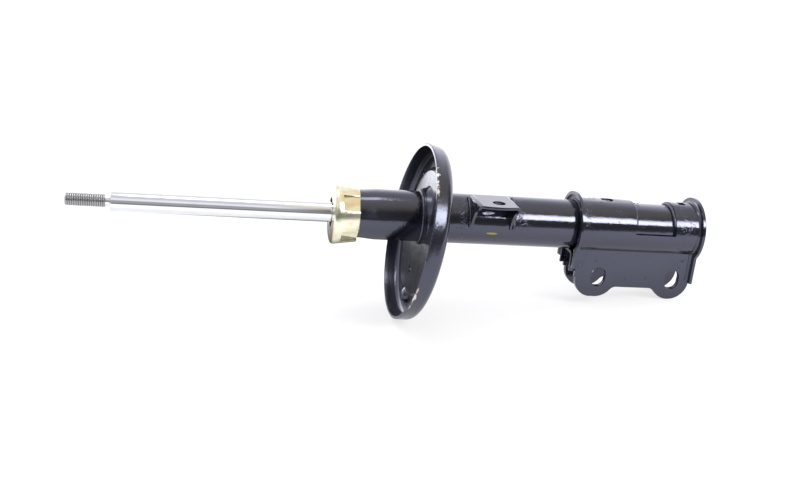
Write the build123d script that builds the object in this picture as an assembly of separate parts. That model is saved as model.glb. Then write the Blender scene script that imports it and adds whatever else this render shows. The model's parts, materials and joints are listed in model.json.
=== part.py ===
from build123d import *
import math
import os

# Front suspension strut: a twin-tube gas damper with its spring seat, link bracket and knuckle clevis.
#
# Everything is drawn in the strut frame: the damper's axis is X, the stud end is -X and the knuckle
# ears point along -Z, with x = 0 over the upper knuckle bolt. At the end each piece is tipped and
# moved into the part frame, where the strut lies on its spring seat and on its two ears, with the
# origin at the upper knuckle bolt, midway between the ears. All sizes are in millimetres.

# ---- fits
WELD_GAP = 0.1          # radial, between pieces that are welded or pressed together
ROD_GAP = 0.03          # radial, rod in its bush and its seal, band in the cylinder
LOOSE_GAP = 0.25        # radial or axial, pieces that only locate each other

# ---- piston rod
ROD_D = 22.0
STUD_D = 14.0
STUD_LENGTH = 40.0
STUD_CHAMFER = 1.6
RELIEF_D = 11.6         # undercut between thread and shoulder
RELIEF_LENGTH = 4.6
ROD_OUT = 229.0         # chromed rod that shows when the strut is fully extended
SHOULDER_CHAMFER = 1.2
TAIL_D = 12.0           # inner end, which carries the piston
STROKE = 185.0

# ---- outer tube
TUBE_D = 55.0
TUBE_WALL = 2.5
TUBE_SETBACK = 0.6      # closed end, short of the clevis's rear edge
NECK_SWAGE = 1.3        # radial, tube to its swaged end under the cap
NECK_LENGTH = 32.0
NECK_TAPER = 14.0
ROLL_BORE = 6.0         # radial, rod to the mouth left by the rolled closure

# ---- bump-stop cap
CAP_X0 = -306.0
CAP_LENGTH = 27.6
CAP_FRONT = 6.7         # radial, tube to the cap's front edge
CAP_REAR = 3.4          # and to its rear edge
CAP_SHEET = 1.5
CAP_HOLE = 5.0          # radial, rod to the cap's hole
CAP_CORNER = 3.5
POCKETS = 5
POCKET_WIDTH = 20.5     # over the sheet of its two sides
POCKET_START = 9.5      # its front wall, behind the cap's front edge; it is open at the rear
POCKET_TURN = 55.0      # first pocket, degrees from straight up

# ---- inner cylinder and guide
BORE_D = 32.0
CYLINDER_WALL = 1.7
BASE_DEPTH = 25.0       # from the tube's closed end to the cylinder's
GUIDE_LENGTH = 18.0     # wide part of the rod guide
SPIGOT_LENGTH = 10.0    # part of it inside the cylinder
SEAL_PLATE = 2.5
SEAL_DEPTH = 6.0        # of the rod seal, below its plate
SEAL_HEIGHT = 4.9       # radial, rod to the plate it is bonded in
BUSH_WALL = 1.5
GARTER_WIRE = 1.4

# ---- rebound stop
BUMPER_LENGTH = 7.5
STOP_GAP = 1.0          # radial, stop to cylinder
STOP_LENGTH = 6.0
STOP_RING_LENGTH = 2.0
STOP_RING_GROOVE = 0.8

# ---- piston
PISTON_LENGTH = 20.0
PISTON_GAP = 0.6        # radial, piston to cylinder: the band fills it
BAND_LENGTH = 12.0
BAND_GROOVE = 1.0
HUB_D = 15.0
HUB_HEIGHT = 3.4
PORTS = 8
PORT_D = 3.0
VALVE_STOP = 2.4
DISC = 0.6              # check discs
SPRING_RIM = 0.4        # flat part of a check spring
SHIM = 0.3
SHIMS = 4
BASE_SHIMS = 3
NUT_LENGTH = 11.0
NUT_FLATS = 19.0

# ---- base valve
VALVE_LENGTH = 12.0
VALVE_SKIRT = 6.0
VALVE_LIFT = 1.0
VALVE_PORT_R = 11.0     # ring of ports
VALVE_SEAT_R = 13.0     # lower face, which the shims lie on
PIN_D = 6.0
PIN_HEAD = 2.5
PIN_NUT_FLATS = 10.0
PIN_NUT_LENGTH = 3.6
BASE_CAP_WALL = 3.0
BASE_CAP_LENGTH = 10.0

# ---- spring seat
SEAT_X = -216.0         # where the plane of its rim crosses the damper's axis
SEAT_R = 97.6
SEAT_DROP = 17.1        # offset of its centre, towards the ears
SEAT_TILT = 8.0         # degrees, top towards the clevis
SEAT_DEPTH = 19.5
SEAT_SHEET = 3.0
SEAT_CORNER = 9.0
SEAT_DRAFT = 1.0        # how much the wall narrows before its corner
LIP_ROLL = 1.2
TRACK_WIDTH = 24.6      # radial, from the inner edge of the spring's track to the rim
PLATEAU = 4.5           # height of the floor inside the track
COLLAR_LEAD = 0.3       # free end of the flared collar, ahead of the floor where the floor is lowest
COLLAR_FLARE = 15.0     # radius of the curve from the collar into the floor
STOP_BOSS_R = 10.5      # boss that the spring's end coil butts against
STOP_BOSS_SINK = 3.0    # its centre, below the track
DRAIN_D = 8.0

# ---- stabiliser link bracket
LINK_X = -132.0         # hole
LINK_Y = -37.0
LINK_HOLE_D = 14.0
LINK_X0 = -157.7
LINK_X1 = -110.8
LINK_RISE = 2.5         # upper face, above the tube
LINK_SHEET = 3.0
LINK_FRONT = -51.0
LINK_BACK = -8.5
LINK_FOOT_Y = -28.6
LINK_FOOT_Z = -2.7
LINK_BEND = 5.0
LINK_WAIST = 5.0        # how far the cheeks' front edges curve in
LINK_NOSE = 2.6         # bulge of its front edge

# ---- knuckle clevis
CLEVIS_SHEET = 3.2
BOLT_DROP = 54.5        # bolt holes, below the axis
BOLT_SPACING = 89.0
BOLT_SLOT_WIDTH = 17.0
BOLT_SLOT_HEIGHT = 22.5
EAR_OUTER = 41.0        # over the ears' outer faces
LOBE_R = 22.5
LOBE_SHIFT = 1.5        # lobes' centres, up the strut from the bolts
LOBE_DROP = 1.0         # and below them
HEEL_SHIFT = 5.0        # how much further forward the upper lobe's heel is
WEB_DROP = 65.7         # edge of the ears between the lobes
WEB_FILLET = 9.0
CLEVIS_X0 = -34.8
CLEVIS_X1 = 111.3
LIP_BEND = 3.0
LIP_HEIGHT = 9.7        # radial, tube to the flared edges' outside
FRONT_LIP_DROP = 44.0
REAR_LIP_DROP = 56.5
WINDOW_X0 = 31.5
WINDOW_X1 = 79.0
PLUG_X = 3.3
PLUG_D = 14.0
PLUG_SINK = 1.4         # the filled weld, below the sheet's outside
TOP_SLOT_X = 88.6
TOP_SLOT_WIDTH = 8.0
TOP_SLOT_HALF = 5.0
DIMPLE_D = 5.0
DIMPLE_DEPTH = 0.4
INNER_SHEET = 3.0
INNER_SETBACK = 0.2     # inner channel's front edge, from the clevis's

# ---- weld beads
BEAD = 4.0

# ---- worked out from the above
ROD_R = ROD_D / 2
TUBE_R = TUBE_D / 2
TUBE_X1 = CLEVIS_X1 - TUBE_SETBACK
CYLINDER_X1 = TUBE_X1 - BASE_DEPTH
TUBE_IN = TUBE_R - TUBE_WALL
NECK_R = TUBE_R - NECK_SWAGE
NECK_IN = NECK_R - TUBE_WALL
TUBE_X0 = CAP_X0 + CAP_SHEET + WELD_GAP
SHOULDER_X = CAP_X0 - ROD_OUT
STUD_X1 = SHOULDER_X - RELIEF_LENGTH
STUD_X0 = STUD_X1 - STUD_LENGTH
SEAL_X = TUBE_X0 + TUBE_WALL
GUIDE_X0 = SEAL_X + SEAL_PLATE + WELD_GAP
GUIDE_X1 = GUIDE_X0 + GUIDE_LENGTH
SPIGOT_X1 = GUIDE_X1 + SPIGOT_LENGTH
CYLINDER_X0 = GUIDE_X1
BORE_R = BORE_D / 2
CYLINDER_R = BORE_R + CYLINDER_WALL
BUSH_R = ROD_R + ROD_GAP + BUSH_WALL
SEAL_R = ROD_R + SEAL_HEIGHT
GARTER_IN = ROD_R + 1.9
STOP_R = BORE_R - STOP_GAP
TRACK_R = SEAT_R - TRACK_WIDTH
COLLAR_R = TUBE_R + WELD_GAP + SEAT_SHEET
SEAT_FLOOR = SEAT_DEPTH - SEAT_SHEET - PLATEAU      # upper face of the floor inside the track
SEAT_LEAN = math.radians(SEAT_TILT)
COLLAR_X0 = (
    SEAT_X + SEAT_FLOOR / math.cos(SEAT_LEAN) - (TUBE_R + BEAD) * math.tan(SEAT_LEAN) - COLLAR_LEAD)
LINK_TOP = TUBE_R + LINK_RISE
LIP_R = TUBE_R + LIP_HEIGHT
STOP_X0 = SPIGOT_X1 + LOOSE_GAP + BUMPER_LENGTH
STOP_RING_X0 = STOP_X0 + STOP_LENGTH
BASE_X0 = CYLINDER_X1 - VALVE_LENGTH          # upper face of the base valve
BASE_STAND_X = TUBE_X1 - BASE_CAP_LENGTH - WELD_GAP
PIN_HEAD_X1 = BASE_X0 - DISC - VALVE_LIFT - 2 * SPRING_RIM
TAIL_X1 = BASE_X0 - STROKE - VALVE_LIFT - 10.0
NUT_X1 = TAIL_X1 - 2.0
NUT_X0 = NUT_X1 - NUT_LENGTH
SHIM_X0 = NUT_X0 - SHIM * SHIMS
PISTON_X1 = SHIM_X0
PISTON_X0 = PISTON_X1 - PISTON_LENGTH
HUB_X0 = PISTON_X0 - HUB_HEIGHT
TAIL_X0 = HUB_X0 - VALVE_STOP
PISTON_R = BORE_R - PISTON_GAP
BAND_X0 = (PISTON_X0 + PISTON_X1 - BAND_LENGTH) / 2
WRAP_IN = TUBE_R + WELD_GAP
WRAP_R = WRAP_IN + CLEVIS_SHEET
EAR_Y1 = EAR_OUTER / 2
EAR_Y0 = EAR_Y1 - CLEVIS_SHEET
CREASE_Z = -math.sqrt(WRAP_R**2 - EAR_Y1**2)
EAR_TOP_Z = -math.sqrt(WRAP_IN**2 - EAR_Y0**2)
LIP_REACH = LIP_BEND + CLEVIS_SHEET
WRAP_X0 = CLEVIS_X0 + LIP_REACH
WRAP_X1 = CLEVIS_X1 - LIP_REACH
BOLT_X = (0.0, BOLT_SPACING)
LOBE_X = (-LOBE_SHIFT, BOLT_SPACING - LOBE_SHIFT)
LOBE_Z = -BOLT_DROP - LOBE_DROP


# ---- shapes that several pieces use

def section(*points):
    """Face in the XZ plane from (x, r) corners."""
    return Plane.XZ * make_face(Polyline(*points, close=True))


def turned(*points):
    """Solid of revolution about the damper's axis, from the (x, r) corners of its section."""
    return revolve(section(*points), Axis.X, 360)


def ring(x0, x1, outer, inner=0.0):
    return turned((x0, inner), (x1, inner), (x1, outer), (x0, outer))


def arc_ring(face, start, end):
    """Part of a ring: start and end are degrees from straight up, towards -Y."""
    return Rot(X=start) * revolve(face, Axis.X, end - start)


def round_wire(x, centre_r, wire_r):
    """A ring of round wire about the damper's axis."""
    return revolve(Plane.XZ * Pos(x, centre_r) * Circle(wire_r), Axis.X, 360)


def around(shape, count, start=0.0):
    """Copies of a shape, evenly spaced about the damper's axis."""
    return [Rot(X=start + 360 / count * i) * shape for i in range(count)]


def bead_ring(x, sense, surface_r, size, start=0.0, end=360.0):
    """Fillet weld in the corner between the tube and a face square to it at x."""
    base = surface_r + WELD_GAP / 2
    root = x + sense * WELD_GAP / 2
    face = Plane.XZ * make_face([
        Line((root, base), (root + sense * size, base)),
        ThreePointArc(
            (root + sense * size, base),
            (root + sense * size * 0.62, base + size * 0.62),
            (root, base + size)),
        Line((root, base + size), (root, base)),
    ])
    return arc_ring(face, start, end)


# ---- damper: rod side

def piston_rod():
    tail_r = TAIL_D / 2
    relief_r = RELIEF_D / 2
    stud_r = STUD_D / 2
    ring_x1 = STOP_RING_X0 + STOP_RING_LENGTH
    groove_r = ROD_R - STOP_RING_GROOVE
    return turned(
        (STUD_X0, 0), (STUD_X0, stud_r - STUD_CHAMFER), (STUD_X0 + STUD_CHAMFER, stud_r),
        (STUD_X1 - 0.8, stud_r), (STUD_X1, relief_r), (SHOULDER_X, relief_r),
        (SHOULDER_X, ROD_R - SHOULDER_CHAMFER), (SHOULDER_X + SHOULDER_CHAMFER, ROD_R),
        (STOP_RING_X0, ROD_R), (STOP_RING_X0, groove_r), (ring_x1, groove_r), (ring_x1, ROD_R),
        (TAIL_X0, ROD_R), (TAIL_X0, tail_r), (TAIL_X1 - 1, tail_r), (TAIL_X1, tail_r - 1), (TAIL_X1, 0))


def rebound_bumper():
    x0 = SPIGOT_X1 + LOOSE_GAP
    x1 = STOP_X0
    outer = STOP_R
    inner = ROD_R + LOOSE_GAP
    return turned(
        (x0, inner), (x1, inner), (x1, outer - 0.6), (x1 - 2, outer), (x0 + 2, outer), (x0, outer - 2.5))


def rebound_stop():
    return ring(STOP_X0, STOP_RING_X0, STOP_R, ROD_R + WELD_GAP)


def stop_ring():
    """Snap ring in the rod's groove, with a gap to open it by."""
    x1 = STOP_RING_X0 + STOP_RING_LENGTH
    whole = ring(STOP_RING_X0, x1, ROD_R + 1.6, ROD_R - STOP_RING_GROOVE + WELD_GAP)
    return whole - Pos((STOP_RING_X0 + x1) / 2, 0, ROD_R) * Box(STOP_RING_LENGTH + 1, 5, 6)


def valve_stop():
    return ring(TAIL_X0, HUB_X0, HUB_D / 2 + 5.5, TAIL_D / 2 + WELD_GAP)


def check_spring():
    """Three-legged wave washer that closes the piston's check disc."""
    hub_r = HUB_D / 2
    x1 = PISTON_X0 - DISC
    rim_x1 = HUB_X0 + SPRING_RIM
    rim = ring(HUB_X0, rim_x1, hub_r + 2.0, hub_r + LOOSE_GAP)
    leg = Pos((rim_x1 + x1) / 2, 0, hub_r + 1.2) * Box(x1 - rim_x1, 5, 1.4)
    spring = rim
    for copy in around(leg, 3):
        spring = spring + copy
    return spring


def check_disc():
    return ring(PISTON_X0 - DISC, PISTON_X0, PISTON_R - 1.2, HUB_D / 2 + LOOSE_GAP)


def piston():
    groove_r = PISTON_R - BAND_GROOVE
    body = turned(
        (HUB_X0, TAIL_D / 2 + WELD_GAP), (HUB_X0, HUB_D / 2), (PISTON_X0, HUB_D / 2),
        (PISTON_X0, PISTON_R - 0.5), (PISTON_X0 + 0.5, PISTON_R),
        (BAND_X0, PISTON_R), (BAND_X0, groove_r), (BAND_X0 + BAND_LENGTH, groove_r),
        (BAND_X0 + BAND_LENGTH, PISTON_R), (PISTON_X1 - 0.5, PISTON_R), (PISTON_X1, PISTON_R - 0.5),
        (PISTON_X1, TAIL_D / 2 + WELD_GAP))
    middle = (PISTON_X0 + PISTON_X1) / 2
    port = Pos(middle, 0, PISTON_R - 4.4) * Rot(Y=90) * Cylinder(PORT_D / 2, PISTON_LENGTH + 2)
    for copy in around(port, PORTS):
        body = body - copy
    return body


def piston_band():
    """Low-friction band in the piston's groove, which runs in the cylinder."""
    inner = PISTON_R - BAND_GROOVE + ROD_GAP
    return ring(BAND_X0 + ROD_GAP, BAND_X0 + BAND_LENGTH - ROD_GAP, BORE_R - ROD_GAP, inner)


def rebound_shims():
    """Stack of spring-steel shims, each a little smaller than the one before."""
    shims = []
    for i in range(SHIMS):
        x = SHIM_X0 + SHIM * i
        shims.append(ring(x, x + SHIM, PISTON_R - 1.4 - 1.5 * i, TAIL_D / 2 + WELD_GAP))
    return shims


def piston_nut():
    body = extrude(Plane.YZ * RegularPolygon(NUT_FLATS / 2, 6, major_radius=False), NUT_LENGTH)
    body = Pos(NUT_X0, 0, 0) * body
    crown = NUT_FLATS / math.sqrt(3)
    blank = turned(
        (NUT_X0, 0), (NUT_X0, crown), (NUT_X1 - 2.0, crown), (NUT_X1, crown - 2.6), (NUT_X1, 0))
    return (body & blank) - ring(NUT_X0 - 1, NUT_X1 + 1, TAIL_D / 2 + WELD_GAP)


# ---- damper: tube side

def outer_tube():
    """Reserve tube: swaged in under the cap and rolled over the seal at its mouth."""
    neck_x1 = TUBE_X0 + NECK_LENGTH
    taper_x1 = neck_x1 + NECK_TAPER
    roll_r = ROD_R + ROLL_BORE
    return turned(
        (TUBE_X0, roll_r), (TUBE_X0, NECK_R - 2), (TUBE_X0 + 2, NECK_R), (neck_x1, NECK_R),
        (taper_x1, TUBE_R), (TUBE_X1, TUBE_R), (TUBE_X1, TUBE_IN), (taper_x1, TUBE_IN),
        (neck_x1, NECK_IN), (SEAL_X, NECK_IN), (SEAL_X, roll_r))


def base_cap():
    """Pressed cup that closes the tube, domed outwards, with its skirt flush with the tube's end."""
    outer = TUBE_IN - WELD_GAP
    x0 = TUBE_X1 - BASE_CAP_LENGTH
    floor = x0 + BASE_CAP_WALL
    return turned(
        (x0, 0), (x0, outer - 3), (x0 + 3, outer), (TUBE_X1, outer), (TUBE_X1, outer - BASE_CAP_WALL),
        (floor + 3, outer - BASE_CAP_WALL), (floor, outer - BASE_CAP_WALL - 3), (floor, 0))


def inner_cylinder():
    return ring(CYLINDER_X0, CYLINDER_X1, CYLINDER_R, BORE_R)


def rod_guide():
    """Sintered guide: recessed for the seal, grooved for its O-ring, with a spigot in the cylinder."""
    outer = NECK_IN - WELD_GAP
    groove_x = GUIDE_X0 + 9
    recess_x = GUIDE_X0 + SEAL_DEPTH
    recess_r = SEAL_R + 0.6
    body = turned(
        (GUIDE_X0, recess_r), (GUIDE_X0, outer), (groove_x - 1.1, outer), (groove_x - 1.1, outer - 1.9),
        (groove_x + 1.1, outer - 1.9), (groove_x + 1.1, outer), (GUIDE_X1 - 3, outer),
        (GUIDE_X1, outer - 3),
        (GUIDE_X1, BORE_R - WELD_GAP), (SPIGOT_X1 - 1, BORE_R - WELD_GAP), (SPIGOT_X1, BORE_R - 1.2),
        (SPIGOT_X1, BUSH_R + WELD_GAP), (recess_x, BUSH_R + WELD_GAP), (recess_x, recess_r))
    bleed = Pos((recess_x + GUIDE_X1) / 2, 0, 19.0) * Rot(Y=90) * Cylinder(1.2, GUIDE_LENGTH * 2)
    for copy in around(bleed, 3, 60):
        body = body - copy
    return body


def guide_bush():
    x0 = GUIDE_X0 + SEAL_DEPTH + 1
    return ring(x0, SPIGOT_X1 - 1, BUSH_R, ROD_R + ROD_GAP)


def seal_plate():
    return ring(SEAL_X + WELD_GAP, SEAL_X + SEAL_PLATE, NECK_IN - WELD_GAP, SEAL_R + WELD_GAP)


def rod_seal():
    """Rubber seal bonded inside its plate: a dust lip outside and a spring-loaded oil lip inside."""
    x0 = SEAL_X - 1.2
    x1 = GUIDE_X0 + SEAL_DEPTH - 0.6
    lip = ROD_R + ROD_GAP
    plate_x1 = SEAL_X + SEAL_PLATE
    return turned(
        (x0, lip), (x0, lip + 1.2), (SEAL_X, SEAL_R), (plate_x1, SEAL_R), (plate_x1 + 1.2, ROD_R + 2.4),
        (x1 - 2.6, ROD_R + 1.6), (x1 - 2.0, GARTER_IN), (x1, GARTER_IN), (x1, ROD_R + 1.0), (x1 - 1.4, lip),
        (x1 - 2.2, lip), (plate_x1, lip + 0.7), (SEAL_X + 0.8, lip + 0.7), (x0 + 0.6, lip))


def garter_spring():
    x1 = GUIDE_X0 + SEAL_DEPTH - 0.6
    return round_wire(x1 - 1.1, GARTER_IN + GARTER_WIRE / 2 + WELD_GAP / 2, GARTER_WIRE / 2)


def guide_o_ring():
    return round_wire(GUIDE_X0 + 9, NECK_IN - WELD_GAP - 0.95, 0.9)


def base_valve_body():
    """Foot valve in the cylinder's end: a ported disc, and a notched skirt that stands on the base cap."""
    x1 = BASE_STAND_X
    body_r = BORE_R - WELD_GAP
    bore = PIN_D / 2 + WELD_GAP
    body = turned(
        (BASE_X0, bore), (BASE_X0, body_r - 0.6), (BASE_X0 + 0.6, body_r), (CYLINDER_X1, body_r),
        (CYLINDER_X1, CYLINDER_R), (x1, CYLINDER_R), (x1, CYLINDER_R - 3), (x1 - VALVE_SKIRT, VALVE_SEAT_R),
        (x1 - VALVE_SKIRT, bore))
    port = Pos(CYLINDER_X1, 0, VALVE_PORT_R) * Rot(Y=90) * Cylinder(PORT_D / 2, VALVE_LENGTH * 4)
    notch = Pos(x1, 0, CYLINDER_R - 1) * Box(VALVE_SKIRT - 1, 5, 8)
    for copy in around(port, PORTS) + around(notch, 4, 45):
        body = body - copy
    return body


def base_check_disc():
    return ring(BASE_X0 - DISC, BASE_X0, 14.4, PIN_D / 2 + LOOSE_GAP)


def base_check_spring():
    """Star spring between the pin's head and the check disc."""
    inner = PIN_D / 2 + LOOSE_GAP
    x0 = PIN_HEAD_X1
    x1 = BASE_X0 - DISC
    rim = ring(x0, x0 + SPRING_RIM, 6.0, inner)
    leg = Pos((x0 + x1) / 2, 0, 5.2) * Box(x1 - x0, 2.4, 1.2)
    spring = rim
    for copy in around(leg, 3):
        spring = spring + copy
    return spring


def base_valve_shims():
    x0 = BASE_STAND_X - VALVE_SKIRT
    shims = []
    for i in range(BASE_SHIMS):
        x = x0 + SHIM * i
        outer = VALVE_SEAT_R - 0.4 - 1.6 * i
        shims.append(ring(x, x + SHIM, outer, PIN_D / 2 + WELD_GAP))
    return shims


def base_valve_pin():
    x0 = PIN_HEAD_X1 - PIN_HEAD
    x1 = BASE_STAND_X - 0.9
    pin_r = PIN_D / 2
    return turned(
        (x0, 0), (x0, pin_r + 2.4), (x0 + 1, pin_r + 3.2), (PIN_HEAD_X1, pin_r + 3.2),
        (PIN_HEAD_X1, pin_r), (x1, pin_r), (x1, 0))


def base_valve_nut():
    x0 = BASE_STAND_X - VALVE_SKIRT + SHIM * BASE_SHIMS
    hexagon = Plane.YZ * RegularPolygon(PIN_NUT_FLATS / 2, 6, major_radius=False)
    body = Pos(x0, 0, 0) * extrude(hexagon, PIN_NUT_LENGTH)
    return body - ring(x0 - 1, x0 + PIN_NUT_LENGTH + 1, PIN_D / 2 + WELD_GAP)


def bump_stop_cap():
    """Cap pressed over the tube's mouth: a tapered cup with a hole for the rod and pockets that grip it."""
    x1 = CAP_X0 + CAP_LENGTH
    front = TUBE_R + CAP_FRONT
    rear = TUBE_R + CAP_REAR
    corner = CAP_CORNER
    hole = ROD_R + CAP_HOLE
    inner_corner = corner - CAP_SHEET
    cup = revolve(Plane.XZ * make_face([
        Line((CAP_X0, hole), (CAP_X0, front - corner)),
        RadiusArc((CAP_X0, front - corner), (CAP_X0 + corner, front), corner),
        Line((CAP_X0 + corner, front), (x1, rear)),
        Line((x1, rear), (x1, rear - CAP_SHEET)),
        Line((x1, rear - CAP_SHEET), (CAP_X0 + corner, front - CAP_SHEET)),
        RadiusArc(
            (CAP_X0 + corner, front - CAP_SHEET), (CAP_X0 + CAP_SHEET, front - corner), -inner_corner),
        Line((CAP_X0 + CAP_SHEET, front - corner), (CAP_X0 + CAP_SHEET, hole)),
        Line((CAP_X0 + CAP_SHEET, hole), (CAP_X0, hole)),
    ]), Axis.X, 360)
    skin = turned((CAP_X0 + corner, 0), (x1, 0), (x1, rear), (CAP_X0 + corner, front))
    seat_r = NECK_R + WELD_GAP + 0.1
    start = CAP_X0 + POCKET_START
    block = Pos((start - CAP_SHEET + x1) / 2, 0, (seat_r + front) / 2) * Box(
        x1 - start + CAP_SHEET, POCKET_WIDTH, front - seat_r)
    hollow = Pos((start + x1) / 2 + 1, 0, seat_r + CAP_SHEET + front / 2) * Box(
        x1 - start + 2, POCKET_WIDTH - 2 * CAP_SHEET, front)
    for copy in around(block, POCKETS, POCKET_TURN):
        cup = cup + (copy & skin)
    for copy in around(hollow, POCKETS, POCKET_TURN):
        cup = cup - copy
    return cup - ring(CAP_X0 + CAP_SHEET, x1 + 1, seat_r)


# ---- brackets

def seat_place():
    """The spring seat's own frame: its axis is X, its rim plane is x = 0, its floor lies at +X."""
    return Pos(SEAT_X, 0, 0) * Rot(Y=SEAT_TILT) * Pos(0, 0, -SEAT_DROP / math.cos(SEAT_LEAN))


def spring_seat():
    """Dished seat: drafted wall with a rolled lip, track for the spring, plateau and flared collar."""
    depth = SEAT_DEPTH
    sheet = SEAT_SHEET
    corner = SEAT_CORNER
    wall_r = SEAT_R - SEAT_DRAFT
    floor_x = depth - sheet
    dish = seat_place() * revolve(Plane.XZ * make_face([
        Line((0, SEAT_R - sheet), (0, SEAT_R - LIP_ROLL)),
        RadiusArc((0, SEAT_R - LIP_ROLL), (LIP_ROLL, SEAT_R), LIP_ROLL),
        Line((LIP_ROLL, SEAT_R), (depth - corner, wall_r)),
        RadiusArc((depth - corner, wall_r), (depth, wall_r - corner), corner),
        Line((depth, wall_r - corner), (depth, TRACK_R + 1)),
        Line((depth, TRACK_R + 1), (depth - PLATEAU, TRACK_R - 5)),
        Line((depth - PLATEAU, TRACK_R - 5), (depth - PLATEAU, 0)),
        Line((depth - PLATEAU, 0), (SEAT_FLOOR, 0)),
        Line((SEAT_FLOOR, 0), (SEAT_FLOOR, TRACK_R - 3.7)),
        Line((SEAT_FLOOR, TRACK_R - 3.7), (floor_x, TRACK_R + 2.3)),
        Line((floor_x, TRACK_R + 2.3), (floor_x, wall_r - corner)),
        RadiusArc((floor_x, wall_r - corner), (depth - corner, wall_r - sheet), sheet - corner),
        Line((depth - corner, wall_r - sheet), (0, SEAT_R - sheet)),
    ]), Axis.X, 360)
    outside = flare(COLLAR_FLARE)
    inside = flare(COLLAR_FLARE + sheet)
    bore = ring(COLLAR_X0 - 1, COLLAR_X0 + 80, TUBE_R + WELD_GAP)
    beyond = seat_place() * Pos(depth - PLATEAU + 100, 0, 0) * Box(200, 400, 400)
    seat = (dish - inside) + (outside - inside - beyond) - bore
    drain = Rot(Y=90) * Cylinder(DRAIN_D / 2, 3 * depth)
    for turn, radius in drain_holes():
        seat = seat - seat_place() * Rot(X=turn) * Pos(depth, 0, radius) * drain
    boss = Pos(floor_x + STOP_BOSS_SINK, 0, -TRACK_R) * Sphere(STOP_BOSS_R)
    boss = boss - Pos(depth + 20, 0, 0) * Box(40, 400, 400)
    return seat + seat_place() * boss


def drain_holes():
    """(turn from straight up towards -Y in degrees, radius) of each hole in the seat's floor."""
    track = TRACK_R + 10.5
    return [(-52, track), (-71, track), (-167, track), (71, track), (135, track), (182, TRACK_R - 30)]


def flare(radius):
    """Solid under a surface that leaves the tube's direction at the collar's end and curves out to a disc."""
    centre_r = COLLAR_R + COLLAR_FLARE
    start = centre_r - radius
    middle = radius * math.sqrt(0.5)
    x1 = COLLAR_X0 + radius
    return revolve(Plane.XZ * make_face([
        Line((COLLAR_X0, 0), (COLLAR_X0, start)),
        ThreePointArc(
            (COLLAR_X0, start), (COLLAR_X0 + middle, centre_r - middle), (x1, centre_r)),
        Line((x1, centre_r), (x1 + 60, centre_r)),
        Line((x1 + 60, centre_r), (x1 + 60, 0)),
        Line((x1 + 60, 0), (COLLAR_X0, 0)),
    ]), Axis.X, 360)


def seat_welds():
    """Fillets where the collar meets the tube, at both of its ends."""
    x0 = COLLAR_X0 + COLLAR_FLARE * 0.58
    base = TUBE_R + WELD_GAP / 2
    rear = turned((x0, base), (x0 + 3.8, base), (x0 + 2.2, base + 2.0), (x0, base + 1.6))
    return [bead_ring(COLLAR_X0, -1, TUBE_R, BEAD - 0.6), rear]


def link_bracket():
    """U-shaped bracket: a top plate with the link's hole, and two cheeks cut to the tube."""
    t = LINK_SHEET
    under = LINK_TOP - t
    length = LINK_X1 - LINK_X0
    middle_x = (LINK_X0 + LINK_X1) / 2
    hollow_r = LINK_BEND - t
    channel = extrude(Plane.XZ * make_face([
        Line((LINK_X0, -4), (LINK_X0, LINK_TOP - LINK_BEND)),
        RadiusArc((LINK_X0, LINK_TOP - LINK_BEND), (LINK_X0 + LINK_BEND, LINK_TOP), LINK_BEND),
        Line((LINK_X0 + LINK_BEND, LINK_TOP), (LINK_X1 - LINK_BEND, LINK_TOP)),
        RadiusArc((LINK_X1 - LINK_BEND, LINK_TOP), (LINK_X1, LINK_TOP - LINK_BEND), LINK_BEND),
        Line((LINK_X1, LINK_TOP - LINK_BEND), (LINK_X1, -4)),
        Line((LINK_X1, -4), (LINK_X1 - t, -4)),
        Line((LINK_X1 - t, -4), (LINK_X1 - t, LINK_TOP - LINK_BEND)),
        RadiusArc((LINK_X1 - t, LINK_TOP - LINK_BEND), (LINK_X1 - LINK_BEND, under), -hollow_r),
        Line((LINK_X1 - LINK_BEND, under), (LINK_X0 + LINK_BEND, under)),
        RadiusArc((LINK_X0 + LINK_BEND, under), (LINK_X0 + t, LINK_TOP - LINK_BEND), -hollow_r),
        Line((LINK_X0 + t, LINK_TOP - LINK_BEND), (LINK_X0 + t, -4)),
        Line((LINK_X0 + t, -4), (LINK_X0, -4)),
    ]), 120, both=True)
    knee = Vector(LINK_FRONT, LINK_TOP - LINK_BEND)
    foot = Vector(LINK_FOOT_Y, LINK_FOOT_Z)
    inward = (foot - knee).rotate(Axis.Z, 90).normalized()
    side = make_face([
        Line((LINK_BACK, 0), (LINK_BACK, LINK_TOP)),
        Line((LINK_BACK, LINK_TOP), (LINK_FRONT, LINK_TOP)),
        Line((LINK_FRONT, LINK_TOP), knee),
        ThreePointArc(knee, (knee + foot) / 2 + inward * LINK_WAIST, foot),
        Line(foot, (LINK_FOOT_Y, 0)),
        Line((LINK_FOOT_Y, 0), (LINK_BACK, 0)),
    ])
    keep = Pos(LINK_X0 - 1, 0, 0) * extrude(Plane.YZ * side, length + 2)
    bracket = (channel & keep) - ring(LINK_X0 - 5, LINK_X1 + 5, TUBE_R + WELD_GAP)
    nose = Plane.XY * make_face([
        Line((LINK_X0 + LINK_BEND, LINK_FRONT), (LINK_X1 - LINK_BEND, LINK_FRONT)),
        ThreePointArc(
            (LINK_X1 - LINK_BEND, LINK_FRONT), (middle_x, LINK_FRONT - LINK_NOSE),
            (LINK_X0 + LINK_BEND, LINK_FRONT)),
    ])
    bracket = bracket + Pos(0, 0, under) * extrude(nose, t)
    hole = Pos(LINK_X, LINK_Y, LINK_TOP) * Cylinder(LINK_HOLE_D / 2, 4 * t)
    return bracket - hole


def link_welds():
    """Beads along the feet of the two cheeks, outside the bracket."""
    foot = math.degrees(math.acos(LINK_FOOT_Z / TUBE_R))
    return [
        bead_ring(LINK_X0, -1, TUBE_R, BEAD, 12, foot),
        bead_ring(LINK_X1, 1, TUBE_R, BEAD, 12, foot),
    ]


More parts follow.
